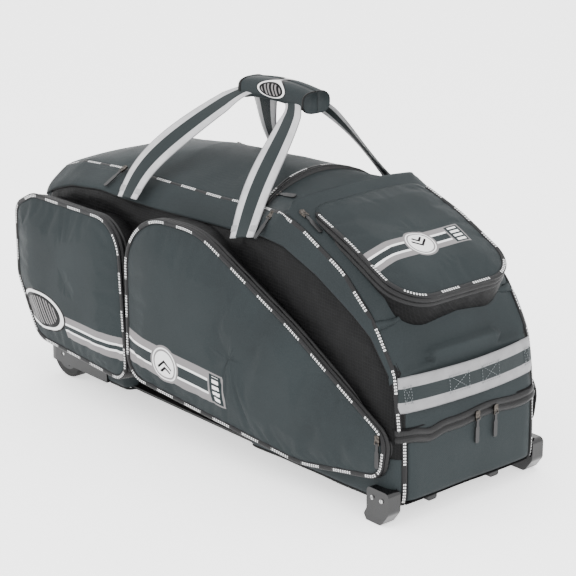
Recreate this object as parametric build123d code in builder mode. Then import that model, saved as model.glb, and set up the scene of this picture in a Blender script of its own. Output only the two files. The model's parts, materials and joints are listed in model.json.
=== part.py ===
from build123d import *
import math
import os

# Large wheeled equipment bag, millimetres. Origin: ground under the bag's middle. +X is the end with the
# tow strap and the feet, -X the wheel end, -Y the right side, +Z up. Left pieces mirror the right ones.

# Driving dimensions
rear_x = -450.0  # rear wall
front_x = 463.0  # front wall
half_width = 172.0  # side wall
nose_half_width = half_width - 17  # side wall at the front end
taper_start_x = -120.0
floor_z = 28.0  # underside of the fabric body
wall = 3.0  # padded fabric wall
seam_z = 380.0  # seam between side wall and shoulder
rear_corner_r = 45.0
front_corner_r = 35.0
lid_half_width = 120.0  # lid edge seam
lid_edge_z = seam_z + 30
crown_z = lid_edge_z + 40  # top of the lid's arch
lid_rear_x = rear_x + 22
lid_rear_z = seam_z - 2
lid_front_x = 104.0
lid_gap = 1.5  # between the lid and the panels round it, where the zipper runs
nose_top_z = crown_z - 10  # top behind the slope
nose_edge_z = nose_top_z - 12
nose_edge_y = nose_half_width - 10
nose_seam_rise = 7.0
slope_start_x = 195.0
slope_end_x = front_x - 38
slope_end_z = 318.0
chin_x = front_x - 14
chin_z = 228.0  # where the slope turns into the front end
shoe_zip_z = 141.0  # zipper of the shoe compartment
shoe_depth = 262.0  # front wall to the back of the shoe compartment
shoe_shelf_rise = 12.0  # shelf above the zipper
divider_t = 2.5
board_t = 4.0
board_margin = 16.0

pocket_face_y = -half_width - 33  # front pocket's face at x = 0
pocket_taper = math.degrees(math.atan(0.09))  # the face closes in towards the front
rear_pocket_face_y = -half_width - 43
cover_t = 6.0  # padded pocket face
cover_gap = 0.6
gusset_t = 3.0
gusset_depth = 60.0  # cut off where it meets the body
top_pocket_length = 239.0
top_pocket_half_width = lid_half_width
top_pocket_along = 139.3  # pocket's middle, down the slope
top_pocket_lift = 22.1  # and out from it

wheel_r = 45.0
wheel_w = 26.0
wheel_x = rear_x + 66
hub_r = wheel_r - 15
bearing_r = 11.0
bearing_w = 7.0
axle_r = 4.0
running_gap = 0.05  # radial, bearing on axle
wheel_gap = 5.0  # round the wheel in its well
housing_front_x = rear_x + 198
housing_inner_y = half_width - 46
housing_top_z = 2 * wheel_r + 8
housing_t = 4.0
heel_z = housing_top_z + 102  # the rear wall leans in below this, so the bag tips back on its wheels
heel_x = rear_x + 32

foot_x = front_x - 34
foot_length = 54.0
foot_out = nose_half_width + 15  # outer face of the foot
foot_w = 25.0
foot_flange_z = 56.0
screw_r = 3.5
screw_head_t = 1.6
rail_y = 68.0
rail_w = 20.0
rail_h = 13.0
rail_start_x = -240.0

handle_axis_y = half_width + 2
handle_axis_z = seam_z + 4
handle_reach = 262.0  # from the sewn ends to the top edge
meeting_gap = 2.98  # from the raised loop's top edge to the bag's middle
webbing_t = 2.5
grip_w = 28.0  # webbing folded narrow inside the wrap
wrap_length = 164.0
wrap_x = 20.0
wrap_t = 2.5
tow_z = 172.0
tow_w = 50.0
tow_half_length = nose_edge_y - 17
tow_bow = 9.0

slider_w = 9.0
slider_l = 12.0
slider_t = 3.2
pull_l = 38.0
pull_t = 1.6
pin_r = 0.8
pin_gap = 0.35
chain_t = 1.2
chain_w = 5.0

pieces = {}


def block(x0, x1, y0, y1, z0, z1, mode=Mode.ADD):
    with Locations(((x0 + x1) / 2, (y0 + y1) / 2, (z0 + z1) / 2)):
        Box(x1 - x0, y1 - y0, z1 - z0, mode=mode)


def mirrored(part):
    return mirror(part, about=Plane.XZ)


def both_sides(part):
    return Compound([part, mirrored(part)])


# The body's outer and inner surfaces

side_profile = [
    (heel_x, floor_z),
    (heel_x, housing_top_z),
    (rear_x, heel_z),
    (rear_x, seam_z - 50),
    (lid_rear_x - 4, lid_rear_z),
    (lid_rear_x + 98, crown_z - 30),
    (lid_rear_x + 228, crown_z + 2),
    (slope_start_x - 45, crown_z + 2),
    (slope_start_x, nose_top_z),
    (slope_end_x, slope_end_z),
    (chin_x, chin_z),
    (front_x, shoe_zip_z),
    (front_x, floor_z),
]
plan_profile = [
    (rear_x, -half_width),
    (taper_start_x, -half_width),
    (front_x, -nose_half_width),
    (front_x, nose_half_width),
    (taper_start_x, half_width),
    (rear_x, half_width),
]


def section(seam_y, low_z, edge_y, edge_z, top_z, inset):
    with BuildSketch(Plane.YZ) as s:
        with BuildLine():
            Polyline((-edge_y, edge_z), (-seam_y, low_z), (-seam_y, floor_z), (seam_y, floor_z),
                     (seam_y, low_z), (edge_y, edge_z))
            ThreePointArc((edge_y, edge_z), (0, top_z), (-edge_y, edge_z))
        make_face()
        offset(amount=-inset, kind=Kind.INTERSECTION)
    return s.sketch


def body_solid(inset):
    rear = section(half_width, seam_z, lid_half_width, lid_edge_z, crown_z, inset)
    nose = section(half_width, seam_z + nose_seam_rise, nose_edge_y, nose_edge_z, nose_top_z, inset)
    back_half = extrude(rear, amount=lid_front_x - rear_x).moved(Location((rear_x, 0, 0)))
    front_half = extrude(nose, amount=front_x - slope_start_x).moved(Location((slope_start_x, 0, 0)))
    middle = loft([rear.face().moved(Location((lid_front_x, 0, 0))),
                   nose.face().moved(Location((slope_start_x, 0, 0)))], ruled=True)
    with BuildPart() as body:
        add(back_half)
        add(middle)
        add(front_half)
        with BuildSketch(Plane.XZ):
            Polygon(*side_profile, align=None)
            offset(amount=-inset, kind=Kind.INTERSECTION)
        extrude(amount=half_width + 10, both=True, mode=Mode.INTERSECT)
        with BuildSketch(Plane.XY):
            Polygon(*plan_profile, align=None)
            fillet(vertices().group_by(Axis.X)[0], rear_corner_r)
            fillet(vertices().group_by(Axis.X)[-1], front_corner_r)
            offset(amount=-inset, kind=Kind.INTERSECTION)
        extrude(amount=crown_z + 50, mode=Mode.INTERSECT)
    return body.part


body_outer = body_solid(0)
body_inner = body_solid(wall)

with BuildPart() as shell:
    add(body_outer)
    add(body_inner, mode=Mode.SUBTRACT)
    for side in (-1, 1):
        y0, y1 = sorted((side * housing_inner_y, side * (half_width + 5)))
        block(rear_x - 5, housing_front_x, y0, y1, 0, housing_top_z, Mode.SUBTRACT)

# Panels are the parts of that shell between its seams

floor_top = floor_z + wall
corner_y = nose_edge_y - 11  # front panels stop here, short of the rounded corner
zip_gap = 2.0

with BuildPart() as floor_panel:
    add(shell.part)
    block(rear_x, front_x, -half_width, half_width, floor_z, floor_top, Mode.INTERSECT)
pieces["floor_panel"] = floor_panel.part

rear_split_x = rear_x + rear_corner_r
rear_top_z = seam_z - 50
reach_y = half_width + 30  # past any side wall
chin_back_x = chin_x - 9
with BuildPart() as rear_end_panel:
    add(shell.part)
    block(lid_rear_x - 1, front_x, -reach_y, reach_y, rear_top_z, crown_z + 50, Mode.SUBTRACT)
    block(rear_split_x, front_x, -reach_y, reach_y, 0, crown_z + 50, Mode.SUBTRACT)
    block(rear_x, front_x, -reach_y, reach_y, 0, floor_top, Mode.SUBTRACT)
pieces["rear_end_panel"] = rear_end_panel.part

with BuildPart() as right_side_panel:
    add(shell.part)
    block(rear_x, front_x, -half_width, -corner_y, floor_top, crown_z, Mode.INTERSECT)
    block(rear_x, lid_front_x, -half_width, 0, seam_z, crown_z, Mode.SUBTRACT)
    block(rear_x, rear_split_x, -half_width, 0, 0, rear_top_z, Mode.SUBTRACT)
    block(rear_x, lid_rear_x - 1, -half_width, 0, 0, crown_z, Mode.SUBTRACT)
pieces["right_side_panel"] = right_side_panel.part

with BuildPart() as right_shoulder_panel:
    add(shell.part)
    block(lid_rear_x - 1, lid_front_x, -half_width, -lid_half_width - 1, seam_z, crown_z, Mode.INTERSECT)
    block(rear_x, front_x, -half_width, half_width, 0, rear_top_z, Mode.SUBTRACT)
pieces["right_shoulder_panel"] = right_shoulder_panel.part

with BuildPart() as lid_panel:
    add(shell.part)
    lid_y = lid_half_width - lid_gap
    block(lid_rear_x, lid_front_x, -lid_y, lid_y, seam_z - 35, crown_z + 5, Mode.INTERSECT)
pieces["lid_panel"] = lid_panel.part

with BuildPart() as front_slope_panel:
    add(shell.part)
    block(lid_front_x + 2 * lid_gap, front_x, -corner_y, corner_y, chin_z, crown_z, Mode.INTERSECT)
pieces["front_slope_panel"] = front_slope_panel.part

with BuildPart() as front_end_panel:
    add(shell.part)
    block(chin_back_x, front_x, -corner_y, corner_y, shoe_zip_z + zip_gap, chin_z, Mode.INTERSECT)
pieces["front_end_panel"] = front_end_panel.part

with BuildPart() as shoe_flap:
    add(shell.part)
    block(chin_back_x, front_x, 1 - corner_y, corner_y - 1, floor_top + wall, shoe_zip_z - zip_gap,
          Mode.INTERSECT)
pieces["shoe_flap"] = shoe_flap.part

shoe_back_x = front_x - shoe_depth
shelf_z = shoe_zip_z + shoe_shelf_rise
with BuildPart() as shoe_divider:
    with BuildSketch(Plane.XZ):
        with BuildLine():
            Polyline((shoe_back_x, floor_top), (shoe_back_x, shelf_z), (front_x, shelf_z),
                     (front_x, shelf_z - divider_t), (shoe_back_x + divider_t, shelf_z - divider_t),
                     (shoe_back_x + divider_t, floor_top), close=True)
        make_face()
    extrude(amount=half_width, both=True)
    add(body_inner, mode=Mode.INTERSECT)
pieces["shoe_divider"] = shoe_divider.part

board_y = half_width - board_margin
board_tail_y = housing_inner_y - 6
with BuildPart() as floor_board:
    with BuildSketch(Plane.XY.offset(floor_top)):
        with BuildLine():
            Polyline((shoe_back_x - 5, -board_y), (shoe_back_x - 5, board_y), (housing_front_x + 5, board_y),
                     (housing_front_x + 5, board_tail_y), (heel_x + 10, board_tail_y),
                     (heel_x + 10, -board_tail_y), (housing_front_x + 5, -board_tail_y),
                     (housing_front_x + 5, -board_y), close=True)
        make_face()
    extrude(amount=board_t)
pieces["floor_board"] = floor_board.part

# Pockets: a gusset ring sewn to the body, and a padded face that folds down from its lowest edge

front_pocket_plane = Plane(
    origin=(0, pocket_face_y, 0),
    x_dir=(math.cos(math.radians(pocket_taper)), math.sin(math.radians(pocket_taper)), 0),
    z_dir=(math.sin(math.radians(pocket_taper)), -math.cos(math.radians(pocket_taper)), 0),
)
rear_pocket_plane = Plane(origin=(0, rear_pocket_face_y, 0), x_dir=(1, 0, 0), z_dir=(0, -1, 0))
slope = math.atan2(nose_top_z - slope_end_z, slope_end_x - slope_start_x)
top_pocket_tilt = slope - math.radians(1.9)
top_pocket_plane = Plane(
    origin=(slope_start_x + top_pocket_along * math.cos(slope) + top_pocket_lift * math.sin(slope), 0,
            nose_top_z - top_pocket_along * math.sin(slope) + top_pocket_lift * math.cos(slope)),
    x_dir=(math.cos(top_pocket_tilt), 0, -math.sin(top_pocket_tilt)),
    z_dir=(math.sin(top_pocket_tilt), 0, math.cos(top_pocket_tilt)),
)
pocket_top_z = seam_z - 4
front_pocket_outline = [
    (-126, pocket_top_z), (46, pocket_top_z), (250, pocket_top_z - 112), (front_x - 21, 140),
    (front_x - 29, 75), (268, 50), (-126, 92),
]
front_pocket_radii = [96, 150, 300, 34, 26, 200, 40]
rear_pocket_outline = [
    (rear_x + 2, pocket_top_z - 58), (rear_x + 55, pocket_top_z - 30), (-151, pocket_top_z - 26),
    (-134, 74), (rear_x + 58, 88), (rear_x + 2, 190),
]
rear_pocket_radii = [30, 60, 62, 30, 40, 50]


def outline_face(plane, points, radii, grow=0.0):
    with BuildSketch(plane) as s:
        with BuildLine():
            FilletPolyline(*points, radius=radii, close=True)
        make_face()
        if grow:
            offset(amount=grow)
    return s.sketch


def pocket(plane, points, radii):
    face = outline_face(plane, points, radii)
    inner = outline_face(plane, points, radii, -gusset_t)
    rim = outline_face(plane, points, radii, chain_t)
    depth = cover_t + cover_gap
    down = Vector(*plane.z_dir) * -1
    with BuildPart() as cover:
        add(extrude(face, amount=cover_t, dir=down))
    with BuildPart() as gusset:
        add(extrude(face.moved(Location(down * depth)), amount=gusset_depth, dir=down))
        add(extrude(inner.moved(Location(down * depth)), amount=gusset_depth, dir=down), mode=Mode.SUBTRACT)
        add(body_outer, mode=Mode.SUBTRACT)
    with BuildPart() as chain:
        add(extrude(rim.moved(Location(down * (depth + 1))), amount=chain_w, dir=down))
        add(extrude(face.moved(Location(down * (depth + 1))), amount=chain_w, dir=down), mode=Mode.SUBTRACT)
        add(body_outer, mode=Mode.SUBTRACT)
    return gusset.part, cover.part, chain.part


chains = []
for name, plane, points, radii in (
    ("front", front_pocket_plane, front_pocket_outline, front_pocket_radii),
    ("rear", rear_pocket_plane, rear_pocket_outline, rear_pocket_radii),
):
    gusset, cover, chain = pocket(plane, points, radii)
    pieces[f"right_{name}_gusset"] = gusset
    pieces[f"right_{name}_cover"] = cover
    chains += [chain, mirrored(chain)]

half_l = top_pocket_length / 2
half_w = top_pocket_half_width
top_pocket_outline = [(-half_l, -half_w), (half_l, -half_w), (half_l, half_w), (-half_l, half_w)]
gusset, cover, chain = pocket(top_pocket_plane, top_pocket_outline, [28, 60, 60, 28])
pieces["top_pocket_gusset"] = gusset
pieces["top_pocket_cover"] = cover
chains.append(chain)

# Zipper chains of the lid and the shoe compartment lie in the gaps between panels

lid_arc_r = (lid_half_width**2 + (crown_z - lid_edge_z) ** 2) / (2 * (crown_z - lid_edge_z))
lid_arc_z = crown_z - lid_arc_r
with BuildPart() as side_chain:
    block(-340, lid_front_x, -lid_half_width - 0.8, -lid_half_width + 0.9, lid_edge_z - 3, lid_edge_z)
with BuildPart() as cross_chain:
    with BuildSketch(Plane.YZ.offset(lid_front_x + 0.6)):
        Circle(lid_arc_r)
        Circle(lid_arc_r - 3, mode=Mode.SUBTRACT)
        with Locations((0, lid_arc_r)):
            Rectangle(2 * corner_y - 40, 60, mode=Mode.INTERSECT)
    extrude(amount=2 * lid_gap - 1.0)
cross_chain_part = cross_chain.part.moved(Location((0, 0, lid_arc_z)))
with BuildPart() as shoe_chain:
    block(front_x - wall, front_x, -corner_y + 9, corner_y - 9, shoe_zip_z - 1.4, shoe_zip_z + 1.4)
chains += [side_chain.part, mirrored(side_chain.part), cross_chain_part, shoe_chain.part]
pieces["zipper_chains"] = Compound(chains)

# Wheels: each runs on two bearings on a fixed axle across its moulded housing

well_y = (housing_inner_y + 7, half_width - housing_t)
wheel_y = sum(well_y) / 2
with BuildPart() as right_wheel_housing:
    add(body_outer)
    block(rear_x, housing_front_x, -half_width, -housing_inner_y, floor_z, housing_top_z, Mode.INTERSECT)
    block(rear_x, wheel_x + wheel_r + wheel_gap, -well_y[1], -well_y[0],
          floor_z, wheel_r * 2 + wheel_gap - 1, Mode.SUBTRACT)
    block(wheel_x + wheel_r + wheel_gap + housing_t, housing_front_x - housing_t, -well_y[1], -well_y[0],
          floor_z, housing_top_z - housing_t, Mode.SUBTRACT)
    with Locations(Plane(origin=(wheel_x, -housing_inner_y - 2, wheel_r), z_dir=(0, -1, 0))):
        Cylinder(axle_r, half_width, align=(Align.CENTER, Align.CENTER, Align.MIN), mode=Mode.SUBTRACT)
pieces["right_wheel_housing"] = right_wheel_housing.part

wheel_plane = Plane(origin=(wheel_x, -wheel_y, wheel_r), x_dir=(1, 0, 0), z_dir=(0, -1, 0))
axle_plane = Plane(origin=(wheel_x, -housing_inner_y - 2, wheel_r), x_dir=(1, 0, 0), z_dir=(0, -1, 0))
with BuildPart() as axle:
    with BuildSketch(axle_plane):
        Circle(axle_r)
    extrude(amount=half_width - housing_inner_y - 3)
    chamfer(axle.edges().group_by(Axis.Y)[0], 0.8)
pieces["wheel_axles"] = both_sides(axle.part)

with BuildPart() as right_tyre:
    with BuildSketch(wheel_plane):
        Circle(wheel_r)
        Circle(hub_r, mode=Mode.SUBTRACT)
    extrude(amount=wheel_w / 2, both=True)
    fillet(right_tyre.edges().filter_by(lambda e: abs(e.radius - wheel_r) < 0.1
                                        if e.geom_type == GeomType.CIRCLE else False), 5)
pieces["right_tyre"] = right_tyre.part

with BuildPart() as right_hub:
    with BuildSketch(wheel_plane):
        Circle(hub_r)
        Circle(axle_r + 2, mode=Mode.SUBTRACT)
    extrude(amount=wheel_w / 2, both=True)
    for end in (-1, 1):
        with BuildSketch(wheel_plane.offset(end * wheel_w / 2)):
            Circle(bearing_r)
        extrude(amount=-end * bearing_w, mode=Mode.SUBTRACT)
        with BuildSketch(wheel_plane.offset(end * wheel_w / 2)):
            with PolarLocations(hub_r * 0.68, 5):
                Circle(4.5)
        extrude(amount=-end * 8, mode=Mode.SUBTRACT)
pieces["right_hub"] = right_hub.part

with BuildPart() as right_bearings:
    for end in (-1, 1):
        with BuildSketch(wheel_plane.offset(end * wheel_w / 2)):
            Circle(bearing_r)
            Circle(axle_r + running_gap, mode=Mode.SUBTRACT)
        extrude(amount=-end * bearing_w)
pieces["right_wheel_bearings"] = right_bearings.part

# Feet, rails and screws

with BuildPart() as right_foot:
    foot_x0 = foot_x - foot_length / 2
    foot_x1 = foot_x + foot_length / 2
    with BuildSketch(Plane.XZ.offset(foot_out - foot_w)):
        with BuildLine():
            FilletPolyline((foot_x0, 9), (foot_x0 + 6, 0), (foot_x1 - 16, 0), (foot_x1, 22),
                           (foot_x1, foot_flange_z), (foot_x0 + 6, foot_flange_z), (foot_x0 + 6, 20),
                           radius=[4, 4, 10, 12, 8, 8, 5], close=True)
        make_face()
    extrude(amount=foot_w)
    add(body_outer, mode=Mode.SUBTRACT)
    foot_solid = right_foot.solids().sort_by(SortBy.VOLUME)[-1]
pieces["front_feet"] = both_sides(foot_solid)

with BuildPart() as rail:
    with BuildSketch(Plane.YZ.offset(rail_start_x)):
        with Locations((-rail_y, floor_z)):
            Rectangle(rail_w, rail_h, align=(Align.CENTER, Align.MAX))
        fillet(vertices().group_by(Axis.Z)[0], 4)
    extrude(amount=foot_x1 - 10 - rail_start_x)
pieces["bottom_rails"] = both_sides(rail.part)

with BuildPart() as screws:
    for x, z in ((wheel_x - 22, 58), (housing_front_x - 24, 52)):
        with BuildSketch(Plane.XZ.offset(half_width)):
            with Locations((x, z)):
                Circle(screw_r)
        extrude(amount=screw_head_t)
    for x in (foot_x - 8, foot_x + 12):
        with BuildSketch(Plane.XZ.offset(foot_out)):
            with Locations((x, foot_flange_z - 15)):
                Circle(screw_r)
        extrude(amount=screw_head_t)
pieces["base_screws"] = both_sides(screws.part)

# Carry handles: webbing loops that swing about their sewn ends, each with its half of the grip wrap

# A raised loop leans in over the lid until it meets the other one
lean = math.acos((handle_axis_y - meeting_gap) / handle_reach)
handle_plane = Plane(
    origin=(0, -handle_axis_y, handle_axis_z),
    x_dir=(1, 0, 0),
    z_dir=(0, -math.sin(lean), math.cos(lean)),
)
grip_low = handle_reach - grip_w
webbing_outline = [
    (-196, 0), (-203, 48), (-176, 112), (-128, 182), (-88, handle_reach), (104, handle_reach), (117, 180),
    (127, 68), (150, 0), (100, 0), (77, 68), (66, 178), (62, grip_low), (-36, grip_low), (-88, 146),
    (-132, 84), (-153, 40), (-146, 0),
]
webbing_radii = [1, 40, 60, 60, 26, 26, 60, 60, 1, 1, 60, 60, 14, 14, 60, 60, 40, 1]


def webbing(thickness):
    with BuildPart() as loop:
        with BuildSketch(handle_plane):
            with BuildLine():
                FilletPolyline(*webbing_outline, radius=webbing_radii, close=True)
            make_face()
        extrude(amount=thickness / 2, both=True)
    return loop.part


pieces["right_carry_webbing"] = webbing(webbing_t)

wrap_low_z = handle_axis_z + grip_low * math.sin(lean) - 8
wrap_high_z = handle_axis_z + handle_reach * math.sin(lean) + 5
wrap_out_y = handle_axis_y - grip_low * math.cos(lean) + 6
with BuildPart() as right_grip_wrap:
    block(wrap_x - wrap_length / 2, wrap_x + wrap_length / 2, -wrap_out_y, -0.4, wrap_low_z, wrap_high_z)
    fillet(right_grip_wrap.edges().filter_by(Axis.X).group_by(Axis.Y)[0], 5)
    block(wrap_x - wrap_length, wrap_x + wrap_length, -wrap_out_y + wrap_t, 0,
          wrap_low_z + wrap_t, wrap_high_z - wrap_t, Mode.SUBTRACT)
    add(webbing(webbing_t + 1.5), mode=Mode.SUBTRACT)
    wrap_solid = right_grip_wrap.solids().sort_by(SortBy.VOLUME)[-1]
pieces["right_grip_wrap"] = wrap_solid

# Tow strap, bowed out from the front end so that a hand goes behind it

front_lean = math.atan2(front_x - chin_x, chin_z - shoe_zip_z)
tow_base_x = front_x - (tow_z - shoe_zip_z) * math.tan(front_lean)
tow_plane = Plane(
    origin=(tow_base_x, 0, tow_z),
    x_dir=(0, 1, 0),
    z_dir=(-math.sin(front_lean), 0, math.cos(front_lean)),
)
with BuildPart() as tow_strap:
    with BuildSketch(tow_plane):
        with BuildLine():
            ThreePointArc((-tow_half_length, 0), (0, -tow_bow), (tow_half_length, 0))
            Line((tow_half_length, 0), (tow_half_length, -webbing_t))
            ThreePointArc((tow_half_length, -webbing_t), (0, -tow_bow - webbing_t),
                          (-tow_half_length, -webbing_t))
            Line((-tow_half_length, -webbing_t), (-tow_half_length, 0))
        make_face()
    extrude(amount=tow_w)
    add(body_outer, mode=Mode.SUBTRACT)
pieces["tow_strap"] = tow_strap.part

# Zipper sliders and their swinging pulls. A slider's plane lies on its track: z is out of the surface,
# x is the pull's pin, and the pull lies along -y.

pin_y = -slider_l / 2 - 1.4
pin_z = slider_t - 0.6
eye_r = pin_r + pin_gap + 0.75


def slider_and_pull(plane):
    with BuildPart() as slider:
        with BuildSketch(plane):
            with Locations((0, 1)):
                RectangleRounded(slider_w, slider_l - 0.4, 2)
        extrude(amount=slider_t)
        for side in (-1, 1):
            with BuildSketch(plane.offset(0.8)):
                with Locations((side * (slider_w / 2 - 0.8), pin_y + 1)):
                    Rectangle(1.6, 4.4)
            extrude(amount=slider_t)
        with BuildSketch(Plane(origin=plane.from_local_coords(Vector(-slider_w / 2 + 0.4, pin_y, pin_z)),
                               x_dir=plane.y_dir, z_dir=plane.x_dir)):
            Circle(pin_r)
        extrude(amount=slider_w - 0.8)
    eye_w = slider_w - 3.8
    with BuildPart() as pull:
        with BuildSketch(Plane(origin=plane.from_local_coords(Vector(-eye_w / 2, pin_y, pin_z)),
                               x_dir=plane.y_dir, z_dir=plane.x_dir)):
            Circle(eye_r)
        extrude(amount=eye_w)
        with BuildSketch(plane.offset(pin_z - pull_t / 2)):
            with Locations((0, pin_y - 1.2)):
                Rectangle(eye_w, 14, align=(Align.CENTER, Align.MAX))
            with Locations((0, pin_y - pull_l / 2 - 6)):
                RectangleRounded(slider_w - 1, pull_l - 10, 3)
        extrude(amount=pull_t)
        with BuildSketch(Plane(origin=plane.from_local_coords(Vector(-eye_w / 2, pin_y, pin_z)),
                               x_dir=plane.y_dir, z_dir=plane.x_dir)):
            Circle(pin_r + pin_gap)
        extrude(amount=eye_w, mode=Mode.SUBTRACT)
    return slider.part, pull.part


def tilted(origin, along, up):
    # A slider's plane from its place, the direction its pull lies in, and the direction out of the surface
    z = Vector(*up).normalized()
    y = Vector(*along).normalized() * -1
    return Plane(origin=origin, x_dir=y.cross(z), z_dir=z)


shoulder = math.atan2(lid_edge_z - seam_z, half_width - lid_half_width)
cross_angle = math.radians(28)
cross_r = lid_arc_r + 0.5
pull_rise = 0.11  # the nose rises under this pull
nose_tip = front_pocket_plane.from_local_coords(Vector(front_x - 33, 136, 0.5))
shoe_slider_ys = (6, 46)

# The front lid slider sits on the twisted shoulder between the lid and the slope
front_slider_x = 157.0
slider_lift = 2.6
share = (front_slider_x - lid_front_x) / (slope_start_x - lid_front_x)
edge_y = lid_half_width + share * (nose_edge_y - lid_half_width)
edge_z = lid_edge_z + share * (nose_edge_z - lid_edge_z)
twist = math.atan2(edge_z - seam_z - share * nose_seam_rise, half_width - edge_y)
front_lid_origin = (front_slider_x, -edge_y - 7.5 * math.cos(twist) - slider_lift * math.sin(twist),
                    edge_z - 7.5 * math.sin(twist) + slider_lift * math.cos(twist))
slider_planes = {
    "cross_zip": tilted(
        (lid_front_x + 10, -cross_r * math.sin(cross_angle),
         lid_arc_z + cross_r * math.cos(cross_angle) + 5.5),
        (1, 0, pull_rise), (-pull_rise, -math.sin(cross_angle), math.cos(cross_angle))),
    "right_rear_lid": tilted((-245, -lid_half_width - 8, lid_edge_z - 8 * math.tan(shoulder) + 0.6),
                             (0, -math.cos(shoulder), -math.sin(shoulder)),
                             (0, -math.sin(shoulder), math.cos(shoulder))),
    "right_front_lid": tilted(front_lid_origin, (0, -math.cos(twist), -math.sin(twist)),
                              (0, -math.sin(twist), math.cos(twist))),
    "top_pocket": tilted((slope_start_x + 21, -top_pocket_half_width - 9.5,
                          nose_top_z - 21 * math.tan(slope) + 1.5),
                         (math.cos(slope), 0, -math.sin(slope)), (math.sin(slope), 0, math.cos(slope))),
    "shoe_near": tilted((front_x + 0.4, shoe_slider_ys[0], shoe_zip_z), (0, 0, -1), (1, 0, 0)),
    "shoe_far": tilted((front_x + 0.4, shoe_slider_ys[1], shoe_zip_z), (0, 0, -1), (1, 0, 0)),
    "right_pocket": tilted(nose_tip, (0, 0, -1), tuple(front_pocket_plane.z_dir)),
}
for name, plane in slider_planes.items():
    slider, pull = slider_and_pull(plane)
    pieces[f"{name}_slider"] = slider
    pieces[f"{name}_pull"] = pull

for name in list(pieces):
    if name.startswith("right_"):
        pieces[name.replace("right_", "left_")] = mirrored(pieces[name])

# The origin lies under the middle of the whole bag, from the rear wall to the front of the tow strap
tow_front_x = tow_base_x + (tow_bow + webbing_t) * math.cos(front_lean)
origin_x = (rear_x + tow_front_x) / 2

os.makedirs("parts", exist_ok=True)
for name, piece in pieces.items():
    piece = piece.moved(Location((-origin_x, 0, 0)))
    piece.label = name
    export_step(piece, f"parts/{name}.step")
print(len(pieces), "nodes")
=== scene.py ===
import bpy
import json
import math
import numpy as np
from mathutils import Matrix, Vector

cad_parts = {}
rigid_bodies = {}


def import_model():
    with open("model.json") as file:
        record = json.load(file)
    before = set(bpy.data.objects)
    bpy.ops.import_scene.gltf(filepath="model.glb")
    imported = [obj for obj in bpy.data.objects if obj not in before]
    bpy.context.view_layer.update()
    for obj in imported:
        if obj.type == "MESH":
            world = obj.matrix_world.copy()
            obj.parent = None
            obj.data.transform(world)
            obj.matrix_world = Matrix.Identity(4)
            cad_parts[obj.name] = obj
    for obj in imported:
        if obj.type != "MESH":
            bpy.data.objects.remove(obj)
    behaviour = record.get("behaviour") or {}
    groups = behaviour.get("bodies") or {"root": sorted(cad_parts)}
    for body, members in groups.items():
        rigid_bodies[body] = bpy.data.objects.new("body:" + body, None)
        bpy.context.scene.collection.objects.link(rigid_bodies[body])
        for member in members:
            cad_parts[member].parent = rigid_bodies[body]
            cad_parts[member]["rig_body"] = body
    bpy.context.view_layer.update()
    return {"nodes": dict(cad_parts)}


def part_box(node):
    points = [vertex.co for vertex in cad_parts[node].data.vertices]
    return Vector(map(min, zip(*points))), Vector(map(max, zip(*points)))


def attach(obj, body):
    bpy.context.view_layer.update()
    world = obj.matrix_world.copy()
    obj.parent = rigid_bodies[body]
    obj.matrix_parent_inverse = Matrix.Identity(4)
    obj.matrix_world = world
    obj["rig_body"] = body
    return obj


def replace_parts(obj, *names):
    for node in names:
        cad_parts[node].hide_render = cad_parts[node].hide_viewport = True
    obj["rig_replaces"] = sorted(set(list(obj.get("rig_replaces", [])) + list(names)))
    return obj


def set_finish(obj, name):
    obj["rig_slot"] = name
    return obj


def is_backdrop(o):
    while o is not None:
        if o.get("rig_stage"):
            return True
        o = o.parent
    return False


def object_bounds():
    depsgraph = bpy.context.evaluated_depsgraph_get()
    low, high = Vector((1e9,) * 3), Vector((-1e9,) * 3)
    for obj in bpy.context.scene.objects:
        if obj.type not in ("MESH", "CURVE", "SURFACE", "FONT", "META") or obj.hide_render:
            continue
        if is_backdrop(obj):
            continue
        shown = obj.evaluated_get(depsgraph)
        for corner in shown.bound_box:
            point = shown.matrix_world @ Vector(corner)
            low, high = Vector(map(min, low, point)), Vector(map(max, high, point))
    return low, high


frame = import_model()
nodes = frame["nodes"]

upWay, frontWay = (0, 0, 1.0), (1.0, 0, 0)

# Places are worked out in millimetres from the bag's own mid mark and turned to metres when a mesh is made
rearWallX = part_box("rear_end_panel")[0].x
midX = rearWallX + 0.450


def toRow(p):
    p = np.asarray(p, float)
    return p / 1000 + np.array([midX, 0, 0])


def boxOf(node):
    low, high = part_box(node)
    off = np.array([midX, 0, 0])
    return (np.array(low) - off) * 1000, (np.array(high) - off) * 1000


shell = dict(
    rear=boxOf("rear_end_panel")[0][0], front=boxOf("shoe_flap")[1][0],
    side=-boxOf("right_side_panel")[0][1], noseSide=155.0, floor=boxOf("floor_panel")[0][2],
    lidBack=boxOf("lid_panel")[0][0], lidFront=boxOf("lid_panel")[1][0], lidSide=120.0, noseEdge=145.0,
    soft=16.0, cloth=2.4, ripple=0.9,
)
lidProfile = dict(
    seam=((-450, 322), (-389, 352), (-343, 367), (-255, 378), (0, 384), (157, 388), (205, 383), (279, 354),
          (364, 308), (400, 284), (440, 233), (463, 140)),
    edge=((-450, 352), (-432, 374), (-371, 394), (-276, 403), (0, 409), (104, 415), (182, 427), (233, 411),
          (323, 366), (388, 308), (442, 230), (463, 141)),
    crown=((-450, 356), (-436, 380), (-330, 412), (-274, 424), (-150, 446), (25, 457), (104, 458), (182, 446),
           (463, 440)),
)


def along(x, points):
    xs, zs = zip(*points)
    return np.interp(x, xs, zs)


# the larger of two, with the corner rounded over k
def roundMax(a, b, k):
    return np.maximum(a, b) + np.maximum(k - np.abs(a - b), 0) ** 2 / (4 * k)


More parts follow.
